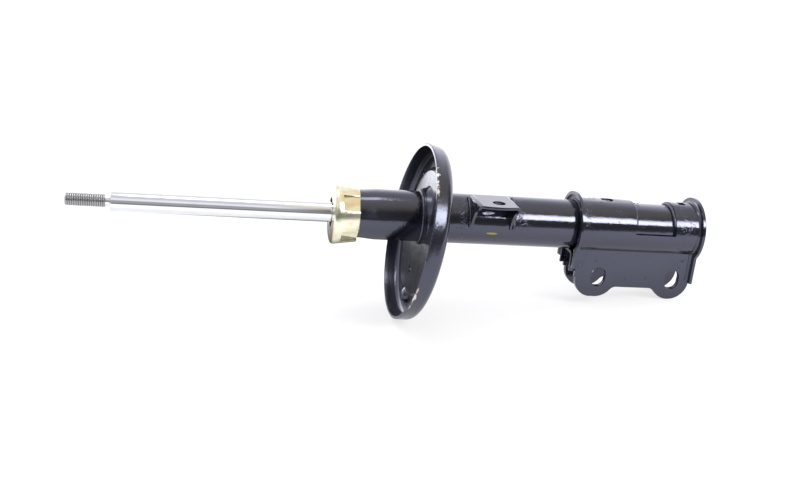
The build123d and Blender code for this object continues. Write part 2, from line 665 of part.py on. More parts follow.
def lip_face(edge_x, sense, base):
    """Section of the clevis's flared edge: (x, base + distance out from the sheet's inner face)."""
    t = CLEVIS_SHEET
    start = edge_x - sense * LIP_REACH
    height = base + LIP_R - WRAP_IN
    bend_top = base + t + LIP_BEND
    s = sense
    return make_face([
        Line((start, base), (start, base + t)),
        RadiusArc((start, base + t), (start + s * LIP_BEND, bend_top), -s * LIP_BEND),
        Line((start + s * LIP_BEND, bend_top), (start + s * LIP_BEND, height)),
        Line((start + s * LIP_BEND, height), (edge_x, height)),
        Line((edge_x, height), (edge_x, bend_top)),
        RadiusArc((edge_x, bend_top), (start, base), s * LIP_REACH),
    ])


def lip_band(edge_x, sense, drop):
    """A flared edge: over the tube from crease to crease, then down both ears."""
    half = 90 + math.degrees(math.atan2(-CREASE_Z, EAR_Y1))
    band = arc_ring(Plane.XZ * lip_face(edge_x, sense, WRAP_IN), -half, half)
    ear = extrude(Plane.XY * lip_face(edge_x, sense, EAR_Y0), drop + EAR_TOP_Z)
    ear = Pos(0, 0, -drop) * ear
    return band + ear + mirror(ear, Plane.XZ)


def slot_hole(x, z, width, height, depth):
    """Upright slot through both ears."""
    face = Plane.XZ * Pos(x, z) * Rot(Z=90) * SlotOverall(height, width)
    return extrude(face, depth / 2, both=True)


def ear_face(x0, x1, top_z, shoulder_z):
    """Side outline of an ear: full width down to its shoulder, then two lobes and an edge between them."""
    middle = (LOBE_X[0] + LOBE_X[1]) / 2
    wide = Pos((x0 + x1) / 2, (top_z + shoulder_z) / 2) * Rectangle(x1 - x0, top_z - shoulder_z)
    waist = Pos(middle, (shoulder_z - WEB_DROP) / 2) * Rectangle(BOLT_SPACING, WEB_DROP + shoulder_z)
    heel = Pos(LOBE_X[0] - HEEL_SHIFT, LOBE_Z - HEEL_SHIFT / 2) * Circle(LOBE_R - HEEL_SHIFT / 2)
    outline = wide + waist + heel
    for x in LOBE_X:
        outline = outline + Pos(x, LOBE_Z) * Circle(LOBE_R)
    inner = [
        v for v in outline.vertices()
        if abs(v.Y + WEB_DROP) < 0.01 and LOBE_X[0] < v.X < LOBE_X[1]]
    return Plane.XZ * fillet(inner, WEB_FILLET)


def clevis_bracket():
    """Sheet wrapped over the tube, with two ears, flared ends, a window and the bolts' slots."""
    t = CLEVIS_SHEET
    length = WRAP_X1 - WRAP_X0
    wrap = ring(WRAP_X0, WRAP_X1, WRAP_R, WRAP_IN)
    below = Pos((WRAP_X0 + WRAP_X1) / 2, 0, CREASE_Z - 25) * Box(length + 2, 80, 50)
    between = Pos((WRAP_X0 + WRAP_X1) / 2, 0, -30) * Box(length + 2, 2 * EAR_Y0, 20)
    wrap = wrap - below - between
    ear = extrude(ear_face(WRAP_X0, WRAP_X1, EAR_TOP_Z, LOBE_Z), t)
    near = Pos(0, -EAR_Y0, 0) * ear
    clevis = wrap + near + mirror(near, Plane.XZ)
    clevis = clevis + lip_band(CLEVIS_X0, -1, FRONT_LIP_DROP) + lip_band(CLEVIS_X1, 1, REAR_LIP_DROP)
    window = Pos((WINDOW_X0 + WINDOW_X1) / 2, 0, 25) * Box(WINDOW_X1 - WINDOW_X0, 90, 50)
    plug = Pos(PLUG_X, 0, WRAP_R) * Cylinder(PLUG_D / 2, 12)
    top_slot = Pos(TOP_SLOT_X + TOP_SLOT_WIDTH / 2, 0, WRAP_R) * Box(
        TOP_SLOT_WIDTH, 2 * TOP_SLOT_HALF, 16)
    clevis = clevis - window - plug - top_slot
    for x in BOLT_X:
        clevis = clevis - slot_hole(x, -BOLT_DROP, BOLT_SLOT_WIDTH, BOLT_SLOT_HEIGHT, 3 * EAR_OUTER)
    for x, z in dimple_spots():
        pit = Pos(x, -EAR_Y1, z) * Rot(X=90) * Cylinder(DIMPLE_D / 2, 2 * DIMPLE_DEPTH)
        clevis = clevis - pit - mirror(pit, Plane.XZ)
    return clevis


def dimple_spots():
    """Clamp marks on the ears: two over the bolts and two between them."""
    above = -BOLT_DROP + BOLT_SLOT_HEIGHT / 2 + 9
    return [
        (-7.0, above), (BOLT_SPACING + 8, above + 4),
        (BOLT_SPACING * 0.35, -BOLT_DROP - 0.5), (BOLT_SPACING * 0.62, -BOLT_DROP + 1.5),
    ]


def clevis_inner_plate():
    """Channel that stiffens the ears: its web lies under the tube, its legs line the ears."""
    t = INNER_SHEET
    outer = EAR_Y0 - WELD_GAP
    top = -TUBE_R - WELD_GAP
    x0 = CLEVIS_X0 + INNER_SETBACK
    x1 = BOLT_SPACING + LOBE_R - LOBE_SHIFT
    bend = 2 * t
    profile = extrude(Plane.YZ * make_face([
        Line((-outer, -90), (-outer, top - bend)),
        RadiusArc((-outer, top - bend), (-outer + bend, top), bend),
        Line((-outer + bend, top), (outer - bend, top)),
        RadiusArc((outer - bend, top), (outer, top - bend), bend),
        Line((outer, top - bend), (outer, -90)),
        Line((outer, -90), (outer - t, -90)),
        Line((outer - t, -90), (outer - t, top - bend)),
        RadiusArc((outer - t, top - bend), (outer - bend, top - t), -(bend - t)),
        Line((outer - bend, top - t), (-outer + bend, top - t)),
        RadiusArc((-outer + bend, top - t), (-outer + t, top - bend), -(bend - t)),
        Line((-outer + t, top - bend), (-outer + t, -90)),
        Line((-outer + t, -90), (-outer, -90)),
    ]), x1 - x0)
    profile = Pos(x0, 0, 0) * profile
    outline = extrude(ear_face(x0, x1, top + 1, -FRONT_LIP_DROP - 6), EAR_OUTER, both=True)
    plate = profile & outline
    for x in BOLT_X:
        plate = plate - slot_hole(x, -BOLT_DROP, BOLT_SLOT_WIDTH, BOLT_SLOT_HEIGHT, 3 * EAR_OUTER)
    return plate


def trumpet_bead(edge_x, sense, half):
    """Weld between the tube and the inside of a flared edge."""
    start = edge_x - sense * LIP_REACH
    base = WRAP_IN - WELD_GAP / 2
    foot = start + sense * 3.2
    outer = edge_x - sense * 0.8
    face = section((foot, base), (outer, base), (outer, base + 2.2))
    return arc_ring(face, -half, half)


def clevis_welds():
    """Beads inside both flared edges and along the window, and the filled plug weld."""
    plug = Pos(PLUG_X, 0, WRAP_R) * Cylinder(PLUG_D / 2 - WELD_GAP, 2 * CLEVIS_SHEET + 4)
    plug = plug & ring(PLUG_X - 20, PLUG_X + 20, WRAP_R - PLUG_SINK, WRAP_IN)
    return [
        trumpet_bead(CLEVIS_X0, -1, 120),
        trumpet_bead(CLEVIS_X1, 1, 120),
        bead_ring(WINDOW_X0, 1, TUBE_R, CLEVIS_SHEET, -70, 70),
        bead_ring(WINDOW_X1, -1, TUBE_R, CLEVIS_SHEET, -70, 70),
        plug,
    ]


# ---- resting pose

def floor_depths(tilt):
    """How far the spring seat and the lower lobe reach towards the floor, with the strut tipped."""
    lean = math.radians(tilt)
    down = Vector(math.sin(lean), 0, -math.cos(lean))
    across = Vector(-math.sin(SEAT_LEAN), 0, -math.cos(SEAT_LEAN))
    along = Vector(math.cos(SEAT_LEAN), 0, -math.sin(SEAT_LEAN))
    centre = Vector(SEAT_X, 0, 0) + across * (SEAT_DROP / math.cos(SEAT_LEAN))
    corner = centre + across * (SEAT_R - SEAT_DRAFT - SEAT_CORNER) + along * (SEAT_DEPTH - SEAT_CORNER)
    lobe = Vector(LOBE_X[1], 0, LOBE_Z)
    return corner.dot(down) + SEAT_CORNER, lobe.dot(down) + LOBE_R


def rest_tilt():
    """Angle that puts the seat and the lobes on one floor, found by halving."""
    low, high = 0.0, 30.0
    for _ in range(50):
        middle = (low + high) / 2
        seat_depth, lobe_depth = floor_depths(middle)
        if seat_depth > lobe_depth:
            low = middle
        else:
            high = middle
    return (low + high) / 2


def part_frame():
    """Tips the strut to rest and moves the upper knuckle bolt's middle to the origin."""
    return Rot(Y=rest_tilt()) * Pos(0, 0, BOLT_DROP)


NODES = {
    "outer_tube": outer_tube,
    "base_cap": base_cap,
    "bump_stop_cap": bump_stop_cap,
    "spring_seat": spring_seat,
    "seat_welds": seat_welds,
    "link_bracket": link_bracket,
    "link_bracket_welds": link_welds,
    "clevis_bracket": clevis_bracket,
    "clevis_inner_plate": clevis_inner_plate,
    "clevis_welds": clevis_welds,
    "inner_cylinder": inner_cylinder,
    "rod_guide": rod_guide,
    "guide_bush": guide_bush,
    "seal_plate": seal_plate,
    "rod_seal": rod_seal,
    "garter_spring": garter_spring,
    "guide_o_ring": guide_o_ring,
    "piston_rod": piston_rod,
    "rebound_bumper": rebound_bumper,
    "rebound_stop": rebound_stop,
    "stop_ring": stop_ring,
    "valve_stop": valve_stop,
    "check_spring": check_spring,
    "check_disc": check_disc,
    "piston": piston,
    "piston_band": piston_band,
    "rebound_shims": rebound_shims,
    "piston_nut": piston_nut,
    "base_valve_body": base_valve_body,
    "base_check_disc": base_check_disc,
    "base_check_spring": base_check_spring,
    "base_valve_shims": base_valve_shims,
    "base_valve_pin": base_valve_pin,
    "base_valve_nut": base_valve_nut,
}


def solids_of(made):
    """Every solid of a piece, whether it was made as one shape or as a list of them."""
    shapes = made if isinstance(made, list) else [made]
    return [solid for shape in shapes for solid in shape.solids()]


os.makedirs("parts", exist_ok=True)
for name, make in NODES.items():
    placed = [part_frame() * solid for solid in solids_of(make())]
    export_step(placed[0] if len(placed) == 1 else Compound(children=placed), f"parts/{name}.step")
print(f"tipped {rest_tilt():.3f} degrees")
to_floor = floor_depths(rest_tilt())[1] - BOLT_DROP * math.cos(math.radians(rest_tilt()))
print(f"upper bolt to floor {to_floor:.3f}")
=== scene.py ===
import json
import math
import random

import bpy
from mathutils import Matrix, Vector, noise


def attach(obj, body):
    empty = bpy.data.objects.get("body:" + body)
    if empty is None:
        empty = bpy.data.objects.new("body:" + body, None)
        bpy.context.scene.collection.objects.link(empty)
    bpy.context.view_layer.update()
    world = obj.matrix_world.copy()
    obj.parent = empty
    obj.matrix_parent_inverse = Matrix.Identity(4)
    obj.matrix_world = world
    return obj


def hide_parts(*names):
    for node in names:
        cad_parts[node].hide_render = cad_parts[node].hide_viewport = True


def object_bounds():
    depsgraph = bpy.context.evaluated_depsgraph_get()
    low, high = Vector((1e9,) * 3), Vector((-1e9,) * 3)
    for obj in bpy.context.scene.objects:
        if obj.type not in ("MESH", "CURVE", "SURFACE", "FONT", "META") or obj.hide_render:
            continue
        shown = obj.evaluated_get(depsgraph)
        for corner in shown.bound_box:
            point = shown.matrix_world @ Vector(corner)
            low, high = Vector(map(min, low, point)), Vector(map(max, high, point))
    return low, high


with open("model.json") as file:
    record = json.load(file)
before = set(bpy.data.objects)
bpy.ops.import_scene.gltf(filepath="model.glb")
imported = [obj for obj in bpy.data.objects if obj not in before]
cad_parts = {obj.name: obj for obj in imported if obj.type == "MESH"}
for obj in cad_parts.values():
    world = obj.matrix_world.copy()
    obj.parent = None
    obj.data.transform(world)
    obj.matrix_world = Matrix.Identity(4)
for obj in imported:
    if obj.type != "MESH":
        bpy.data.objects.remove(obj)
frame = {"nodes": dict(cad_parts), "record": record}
cad_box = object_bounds()

# ---- the strut's own frame, read from the record

MM = 0.001
MOUNTS = {m["name"]: m for m in frame["record"]["mounts"]}
AXIS = -Vector(MOUNTS["top_stud"]["axis"])          # from the stud to the clevis
SIDE = Vector((0, 1, 0))
RISE = AXIS.cross(SIDE)                             # square to the damper, away from the ears
STUD_MID = 560.8                                    # from the bolt's plane to the stud's middle, mm
ORIGIN = Vector(MOUNTS["top_stud"]["pos_m"]) + AXIS * STUD_MID * MM
SEAT_NORMAL = -Vector(MOUNTS["spring_track"]["axis"])
TRACK_POINT = Vector(MOUNTS["spring_track"]["pos_m"])
SEAT_DEPTH = 16.5
SEAT_RIM = TRACK_POINT - SEAT_NORMAL * SEAT_DEPTH * MM   # a point in the plane of the seat's rim
SEAT_RISE = SEAT_NORMAL.cross(SIDE)                 # up the seat, in that plane
SEAT_RADIUS = 97.6


def place(x, r, turn):
    """Point at x along the damper, r from it, and turn degrees from straight up towards the near side."""
    a = math.radians(turn)
    return ORIGIN + (AXIS * x + RISE * (r * math.cos(a)) - SIDE * (r * math.sin(a))) * MM


def along_damper(node):
    """Where a CAD node begins and ends along the damper, in mm."""
    at = [(Vector(v.co) - ORIGIN).dot(AXIS) / MM for v in frame["nodes"][node].data.vertices]
    return min(at), max(at)


def middle_of(node, direction):
    """Half-way point of a CAD node along a direction, in metres."""
    at = [Vector(v.co).dot(direction) for v in frame["nodes"][node].data.vertices]
    return (min(at) + max(at)) / 2


SEAT_CENTRE = SEAT_RIM + SEAT_RISE * (middle_of("spring_seat", SEAT_RISE) - SEAT_RIM.dot(SEAT_RISE))
SEAT_CENTRE.y = 0.0


# ---- material tools

class Paint:
    """A procedural material, built up around one Principled shader."""

    def __init__(self, name, **constants):
        self.material = bpy.data.materials.new(name)
        self.material.use_nodes = True
        self.tree = self.material.node_tree
        self.tree.nodes.clear()
        self.out = self.add("ShaderNodeOutputMaterial")
        self.shader = self.add("ShaderNodeBsdfPrincipled")
        self.link(self.shader.outputs[0], self.out.inputs[0])
        self.where = self.add("ShaderNodeTexCoord").outputs["Object"]
        for key, value in constants.items():
            self.shader.inputs[key.replace("_", " ")].default_value = value

    def add(self, kind, **settings):
        """A new node of this kind, with these settings."""
        node = self.tree.nodes.new(kind)
        for key, value in settings.items():
            setattr(node, key, value)
        return node

    def link(self, a, b):
        self.tree.links.new(a, b)

    def set(self, socket, value):
        """Gives an input a plain value, or joins another node's output to it."""
        if hasattr(value, "is_output"):
            self.link(value, socket)
        else:
            socket.default_value = value

    def noise(self, scale, detail, rough, warp=0.0):
        node = self.add("ShaderNodeTexNoise")
        self.link(self.where, node.inputs["Vector"])
        node.inputs["Scale"].default_value = scale
        node.inputs["Detail"].default_value = detail
        node.inputs["Roughness"].default_value = rough
        node.inputs["Distortion"].default_value = warp
        return node.outputs["Fac"]

    def cells(self, scale):
        """Distance to the nearest of a scatter of points."""
        node = self.add("ShaderNodeTexVoronoi")
        self.link(self.where, node.inputs["Vector"])
        node.inputs["Scale"].default_value = scale
        return node.outputs["Distance"]

    def ramp(self, value, *stops):
        """stops are (position, colour)."""
        node = self.add("ShaderNodeValToRGB")
        self.link(value, node.inputs[0])
        points = node.color_ramp.elements
        while len(points) < len(stops):
            points.new(0.5)
        for point, (where, colour) in zip(points, stops):
            point.position = where
            point.color = (*colour, 1)
        return node.outputs[0]

    def math(self, kind, a, b=0.0):
        node = self.add("ShaderNodeMath", operation=kind)
        self.set(node.inputs[0], a)
        self.set(node.inputs[1], b)
        return node.outputs[0]

    def span(self, value, low, high):
        """0 at low, 1 at high, and straight between them."""
        node = self.add("ShaderNodeMapRange", clamp=True)
        self.link(value, node.inputs["Value"])
        node.inputs["From Min"].default_value = low
        node.inputs["From Max"].default_value = high
        return node.outputs[0]

    def along(self, direction, origin=(0, 0, 0)):
        """Distance in metres from origin along a direction."""
        shift = self.add("ShaderNodeVectorMath", operation="SUBTRACT")
        self.link(self.where, shift.inputs[0])
        shift.inputs[1].default_value = origin
        node = self.add("ShaderNodeVectorMath", operation="DOT_PRODUCT")
        self.link(shift.outputs[0], node.inputs[0])
        node.inputs[1].default_value = direction
        return node.outputs["Value"]

    def radius(self):
        """Distance in metres from the damper's axis."""
        shift = self.add("ShaderNodeVectorMath", operation="SUBTRACT")
        self.link(self.where, shift.inputs[0])
        shift.inputs[1].default_value = ORIGIN
        off_axis = self.add("ShaderNodeVectorMath", operation="CROSS_PRODUCT")
        self.link(shift.outputs[0], off_axis.inputs[0])
        off_axis.inputs[1].default_value = AXIS
        size = self.add("ShaderNodeVectorMath", operation="LENGTH")
        self.link(off_axis.outputs[0], size.inputs[0])
        return size.outputs["Value"]

    def mix(self, share, a, b):
        """Colour a where share is 0 and b where it is 1."""
        node = self.add("ShaderNodeMix", data_type="RGBA")
        self.set(node.inputs[0], share)
        self.set(node.inputs[6], a if hasattr(a, "is_output") else (*a, 1))
        self.set(node.inputs[7], b if hasattr(b, "is_output") else (*b, 1))
        return node.outputs[2]

    def blend(self, share, a, b):
        """The same for plain numbers."""
        node = self.add("ShaderNodeMix", data_type="FLOAT")
        self.set(node.inputs[0], share)
        self.set(node.inputs[2], a)
        self.set(node.inputs[3], b)
        return node.outputs[0]

    def bump(self, *layers):
        """layers are (height, depth in metres), coarse ones first."""
        last = None
        for height, depth in layers:
            node = self.add("ShaderNodeBump")
            node.inputs["Distance"].default_value = depth
            node.inputs["Strength"].default_value = 1.0
            self.link(height, node.inputs["Height"])
            if last is not None:
                self.link(last, node.inputs["Normal"])
            last = node.outputs[0]
        self.link(last, self.shader.inputs["Normal"])

    def use(self, **sockets):
        """Joins these outputs to the shader's inputs of the same names."""
        for key, value in sockets.items():
            self.link(value, self.shader.inputs[key.replace("_", " ")])


PAINT_TINT = (0.74, 0.76, 1.0, 1)           # the enamel's reflections are a little blue
SPATTERED = [                               # middle and half width along the damper, mm
    (-188.0, 10.0), (-162.0, 10.0), (-98.0, 13.0), (-24.0, 11.0), (92.0, 13.0)]


def spattered(p):
    """Specks of weld under the paint, in bands beside the welds."""
    x = p.along(AXIS, ORIGIN)
    bands = None
    for middle, half in SPATTERED:
        off = p.math("ABSOLUTE", p.math("SUBTRACT", x, middle * MM))
        one = p.span(off, half * MM, 0.3 * half * MM)
        bands = one if bands is None else p.math("MAXIMUM", bands, one)
    specks = p.span(p.cells(560), 0.42, 0.10)
    patchy = p.span(p.noise(90, 3, 0.6), 0.42, 0.58)
    return p.math("MULTIPLY", p.math("MULTIPLY", specks, patchy), bands)


def enamel(name, peel=1.0, rough=(0.07, 0.15), chips=None, specks=None):
    """Gloss black enamel on pressed steel: orange peel, a bluish cast, dust nibs and faint rubs.

    chips and specks are functions of the paint: one gives bare metal and rust, the other lumps under it.
    """
    p = Paint(name, IOR=1.95, Specular_Tint=PAINT_TINT)
    cloud = p.noise(22, 4, 0.6)
    colour = p.ramp(cloud, (0.3, (0.006, 0.007, 0.010)), (0.7, (0.012, 0.0135, 0.019)))
    nibs = p.span(p.cells(420), 0.13, 0.07)
    nibs = p.math("MULTIPLY", nibs, p.span(p.noise(75, 3, 0.6), 0.50, 0.62))
    rubs = p.span(p.noise(9, 6, 0.7, warp=1.2), 0.62, 0.74)
    colour = p.mix(p.math("MULTIPLY", rubs, 0.35), colour, (0.026, 0.027, 0.031))
    colour = p.mix(p.math("MULTIPLY", nibs, 0.55), colour, (0.17, 0.17, 0.19))
    gloss = p.span(p.noise(60, 5, 0.65), 0.25, 0.8)
    roughness = p.blend(gloss, rough[0], rough[1])
    roughness = p.math("ADD", roughness, p.math("MULTIPLY", rubs, 0.08))
    roughness = p.math("ADD", roughness, p.math("MULTIPLY", nibs, 0.25))
    if chips is not None:
        bare, rust = chips(p)
        steel = p.mix(rust, (0.80, 0.77, 0.72), (0.40, 0.20, 0.09))
        colour = p.mix(bare, colour, steel)
        roughness = p.blend(bare, roughness, 0.42)
        p.use(Metallic=p.math("MULTIPLY", bare, 0.7))
    p.use(Base_Color=colour, Roughness=roughness)
    layers = [
        (p.noise(210, 2, 0.4), 0.00010 * peel), (p.noise(640, 2, 0.5), 0.00004 * peel),
        (p.noise(1700, 2, 0.5), 0.000008 * peel), (nibs, 0.00004)]
    if specks is not None:
        layers.insert(1, (specks(p), 0.00020))
    p.bump(*layers)
    return p.material


CHIPPED = [                                 # turn in the seat's plane, half width in degrees, strength
    (42, 12, 0.80), (116, 5, 0.92), (126, 3, 0.6), (-60, 5, 0.5), (205, 6, 0.5), (262, 5, 0.6)]


def rim_chips(p):
    """Bare steel where the paint has chipped along the seat's rim, with rust at its edges."""
    depth = p.along(SEAT_NORMAL, SEAT_RIM)
    near_edge = p.span(depth, 0.0075, 0.0004)
    broken = p.noise(150, 5, 0.7, warp=0.6)
    places = None
    for turn, half, strength in CHIPPED:
        a = math.radians(turn)
        spoke = SEAT_RISE * math.cos(a) - SIDE * math.sin(a)
        reach = SEAT_RADIUS * MM * (1 - math.cos(math.radians(half)))
        fade_from = SEAT_RADIUS * MM - 2.2 * reach - 0.001
        one = p.span(p.along(spoke, SEAT_CENTRE), fade_from, SEAT_RADIUS * MM - 0.3 * reach)
        one = p.math("MULTIPLY", one, strength)
        places = one if places is None else p.math("MAXIMUM", places, one)
    share = p.math("MULTIPLY", places, near_edge)
    bare = p.span(p.math("ADD", broken, p.math("MULTIPLY", share, 0.5)), 0.80, 0.84)
    bare = p.math("MULTIPLY", bare, p.span(near_edge, 0.0, 0.15))
    rust = p.span(p.noise(260, 4, 0.6), 0.50, 0.66)
    return bare, rust


def zinc_yellow(name):
    """Yellow-passivated zinc: pale gold, drifting to straw, olive and pink."""
    p = Paint(name, Metallic=1.0, Coat_Weight=0.3, Coat_Roughness=0.08)
    drift = p.noise(34, 2, 0.5, warp=1.1)
    colour = p.ramp(
        drift, (0.28, (0.50, 0.60, 0.36)), (0.40, (0.78, 0.77, 0.54)), (0.50, (0.92, 0.89, 0.72)),
        (0.58, (0.91, 0.85, 0.63)), (0.68, (0.82, 0.69, 0.44)), (0.78, (0.87, 0.62, 0.54)))
    stain = p.span(p.noise(120, 4, 0.6), 0.58, 0.74)
    colour = p.mix(p.math("MULTIPLY", stain, 0.3), colour, (0.60, 0.50, 0.26))
    p.use(Base_Color=colour, Roughness=p.blend(p.noise(260, 4, 0.6), 0.16, 0.32))
    p.bump((p.noise(120, 3, 0.5), 0.00010), (p.noise(1300, 3, 0.6), 0.000008))
    return p.material


def ground_metal(name, colour, dark, rough, lines=0.000002, line_scale=2600.0, stain=0.0, painted_root_shade=None):
    """Turned or ground metal: fine rings along the damper's axis and a little cloudiness.

    grime is the radius of a thread's root and of its crest, in metres: the metal between them is darkened as
    painted shade in the thread's roots.
    """
    p = Paint(name, Metallic=1.0)
    rings = p.add("ShaderNodeTexNoise", noise_dimensions="1D")
    p.link(p.along(AXIS), rings.inputs["W"])
    rings.inputs["Scale"].default_value = line_scale
    rings.inputs["Detail"].default_value = 2.0
    cloud = p.noise(55, 4, 0.6)
    tone = p.mix(p.span(cloud, 0.35, 0.7), colour, dark)
    if stain:
        spots = p.span(p.noise(240, 5, 0.7), 0.55, 0.7)
        tone = p.mix(p.math("MULTIPLY", spots, stain), tone, (0.16, 0.12, 0.09))
    # painted shade: the metal from the thread's crest down to its root is darkened
    if painted_root_shade:
        root, crest = painted_root_shade
        tone = p.mix(p.span(p.radius(), crest, root), tone, (0.16, 0.155, 0.16))
    gloss = p.math("ADD", p.math("MULTIPLY", rings.outputs["Fac"], 0.5), p.math("MULTIPLY", cloud, 0.5))
    p.use(Base_Color=tone, Roughness=p.blend(p.span(gloss, 0.3, 0.7), rough[0], rough[1]))
    p.bump((rings.outputs["Fac"], lines), (p.noise(800, 3, 0.5), lines * 2))
    return p.material


def moulded(name, colour, dark, rough):
    """Rubber or plastic: matt, mottled, with a fine moulded grain."""
    p = Paint(name)
    tone = p.mix(p.noise(70, 4, 0.6), colour, dark)
    p.use(Base_Color=tone, Roughness=p.blend(p.noise(300, 3, 0.6), rough[0], rough[1]))
    p.bump((p.noise(1500, 2, 0.5), 0.00001))
    return p.material


def sintered(name):
    """Pressed and sintered iron: dull and finely pitted."""
    p = Paint(name, Metallic=0.85)
    grain = p.cells(1600)
    tone = p.mix(p.noise(90, 4, 0.6), (0.33, 0.32, 0.31), (0.22, 0.215, 0.21))
    p.use(Base_Color=tone, Roughness=p.blend(grain, 0.42, 0.62))
    p.bump((grain, 0.00001))
    return p.material


LOOKS = {
    "black_paint": enamel("black_enamel", specks=spattered),
    "seat_paint": enamel("black_enamel_seat", peel=1.3, rough=(0.15, 0.27), chips=rim_chips),
    "black_weld": enamel("black_enamel_weld", peel=1.6, rough=(0.16, 0.3)),
    "zinc_yellow": zinc_yellow("yellow_zinc"),
    "rod_chrome": ground_metal(
        "hard_chrome", (0.85, 0.855, 0.90), (0.80, 0.81, 0.86), (0.05, 0.10), 0.0000006),
    # the stud's thread roots are darkened with painted shade
    "stud_steel": ground_metal(
        "stud_steel", (0.50, 0.495, 0.51), (0.44, 0.435, 0.45), (0.28, 0.40), 0.000001, 1500, 0.1,
        painted_root_shade=(0.0059, 0.0066)),
    "steel": ground_metal("machined_steel", (0.56, 0.56, 0.57), (0.45, 0.45, 0.46), (0.22, 0.36)),
    "spring_steel": ground_metal("spring_steel", (0.45, 0.45, 0.48), (0.3, 0.3, 0.36), (0.2, 0.34)),
    "sintered_iron": sintered("sintered_iron"),
    "bronze": ground_metal("bronze", (0.66, 0.46, 0.25), (0.52, 0.33, 0.17), (0.25, 0.4)),
    "rubber": moulded("nitrile_rubber", (0.018, 0.018, 0.019), (0.032, 0.032, 0.033), (0.55, 0.75)),
    "bumper_polymer": moulded("polyurethane", (0.72, 0.69, 0.6), (0.62, 0.58, 0.48), (0.4, 0.55)),
    "band_polymer": moulded("filled_ptfe", (0.3, 0.22, 0.15), (0.22, 0.16, 0.11), (0.45, 0.6)),
}
OWN_LOOK = {"spring_seat": "seat_paint"}


def give(obj, *materials):
    obj.data.materials.clear()
    for material in materials:
        obj.data.materials.append(material)


FLAT_WITHIN, EDGE_FROM = 0.4, 32            # degrees between faces that are joined, and that are rounded


def soften(obj, width):
    """Rounds a CAD node's edges by a modifier: faces are joined first, so that the rounding has room."""
    weld = obj.modifiers.new("weld", "WELD")
    weld.merge_threshold = 0.000002
    flat = obj.modifiers.new("flat", "DECIMATE")
    flat.decimate_type = "DISSOLVE"
    flat.angle_limit = math.radians(FLAT_WITHIN)
    bevel = obj.modifiers.new("edge", "BEVEL")
    bevel.width = width * MM
    bevel.segments = 3
    bevel.limit_method = "ANGLE"
    bevel.angle_limit = math.radians(EDGE_FROM)
    bevel.harden_normals = False
    bevel.use_clamp_overlap = True


for row in frame["record"]["subparts"]:
    node = row["node"]
    look = OWN_LOOK.get(node, row["material_slot"])
    give(frame["nodes"][node], LOOKS[look])


# ---- mesh tools

def new_piece(name, points, faces, body, slot, *materials, smooth):
    """A piece of the scene's own that rides a body; its edges sharper than smooth degrees stay sharp."""
    mesh = bpy.data.meshes.new(name)
    mesh.from_pydata([tuple(p) for p in points], [], faces)
    mesh.validate()
    mesh.update()
    mesh.shade_smooth()
    mesh.set_sharp_from_angle(angle=math.radians(smooth))
    obj = bpy.data.objects.new(name, mesh)
    bpy.context.scene.collection.objects.link(obj)
    give(obj, *materials)
    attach(obj, body)
    return obj


def skin(rings):
    """A closed tube's faces over rings of points that all have the same count, with a cap at each end."""
    count = len(rings[0])
    points = [p for ring in rings for p in ring]
    faces = []
    for i in range(len(rings) - 1):
        for j in range(count):
            k = (j + 1) % count
            faces.append((i * count + j, i * count + k, (i + 1) * count + k, (i + 1) * count + j))
    faces.append(tuple(range(count))[::-1])
    faces.append(tuple((len(rings) - 1) * count + j for j in range(count)))
    return points, faces


# ---- rod with its threaded stud

STUD_X0, STUD_X1, SHOULDER_X = -579.5, -539.6, -535.0
STUD_R, RELIEF_R, ROD_R, TAIL_R = 7.0, 5.8, 11.0, 6.0
PITCH, THREAD_DEPTH = 2.2, 0.8
TIP_R, CENTRE_R, CENTRE_DEPTH = 6.0, 2.1, 1.1       # the stud's end face and the centre drilled in it
TIP_CHAMFER = 0.9
RUN_OUT = 1.6                                       # length over which the thread ends
STOP_GROOVE = along_damper("stop_ring")[0]
GROOVE_WIDTH, GROOVE_DEPTH = 2, 0.8
TAIL_X0 = along_damper("valve_stop")[0]
TAIL_X1 = along_damper("piston_rod")[1]
THREAD_ROWS = 300
AROUND = 72


def thread_radius(x, turn):
    """Radius of a right-hand metric thread, chamfered at the tip and running out at the undercut."""
    phase = (x / PITCH - turn) % 1.0
    from_root = abs(phase - 0.5) * 2                # 0 at the middle of the root, 1 at the crest's
    height = min(1.0, max(0.0, (from_root - 0.12) / 0.44))
    depth = THREAD_DEPTH * min(1.0, max(0.0, (STUD_X1 - 0.6 - x) / RUN_OUT))
    r = STUD_R - 0.02 - depth * (1 - height)
    return min(r, STUD_R - TIP_CHAMFER + (x - STUD_X0), RELIEF_R + 0.02 + (STUD_X1 - x) * 1.5)


def rod_rings():
    """Rings of points from the stud's drilled centre, along the thread and the rod, to the tail's end."""
    tip = [
        (STUD_X0 + CENTRE_DEPTH, 0.02), (STUD_X0 + CENTRE_DEPTH - 0.2, 1.0), (STUD_X0 + 0.1, CENTRE_R - 0.2),
        (STUD_X0, CENTRE_R), (STUD_X0, TIP_R)]
    groove_end = STOP_GROOVE + GROOVE_WIDTH
    rest = [
        (STUD_X1 + 0.3, RELIEF_R), (SHOULDER_X - 0.5, RELIEF_R), (SHOULDER_X, RELIEF_R + 0.5),
        (SHOULDER_X, ROD_R - 1.4), (SHOULDER_X + 0.08, ROD_R - 1.15), (SHOULDER_X + 0.95, ROD_R - 0.15),
        (SHOULDER_X + 1.3, ROD_R), (STOP_GROOVE, ROD_R), (STOP_GROOVE, ROD_R - GROOVE_DEPTH),
        (groove_end, ROD_R - GROOVE_DEPTH), (groove_end, ROD_R), (TAIL_X0, ROD_R), (TAIL_X0, TAIL_R),
        (TAIL_X1 - 1, TAIL_R), (TAIL_X1, TAIL_R - 1)]
    rows = [[place(x, r, 360 * j / AROUND) for j in range(AROUND)] for x, r in tip]
    for i in range(THREAD_ROWS + 1):
        x = STUD_X0 + 0.02 + (STUD_X1 - STUD_X0 - 0.02) * i / THREAD_ROWS
        rows.append([place(x, thread_radius(x, j / AROUND), 360 * j / AROUND) for j in range(AROUND)])
    rows += [[place(x, r, 360 * j / AROUND) for j in range(AROUND)] for x, r in rest]
    return rows


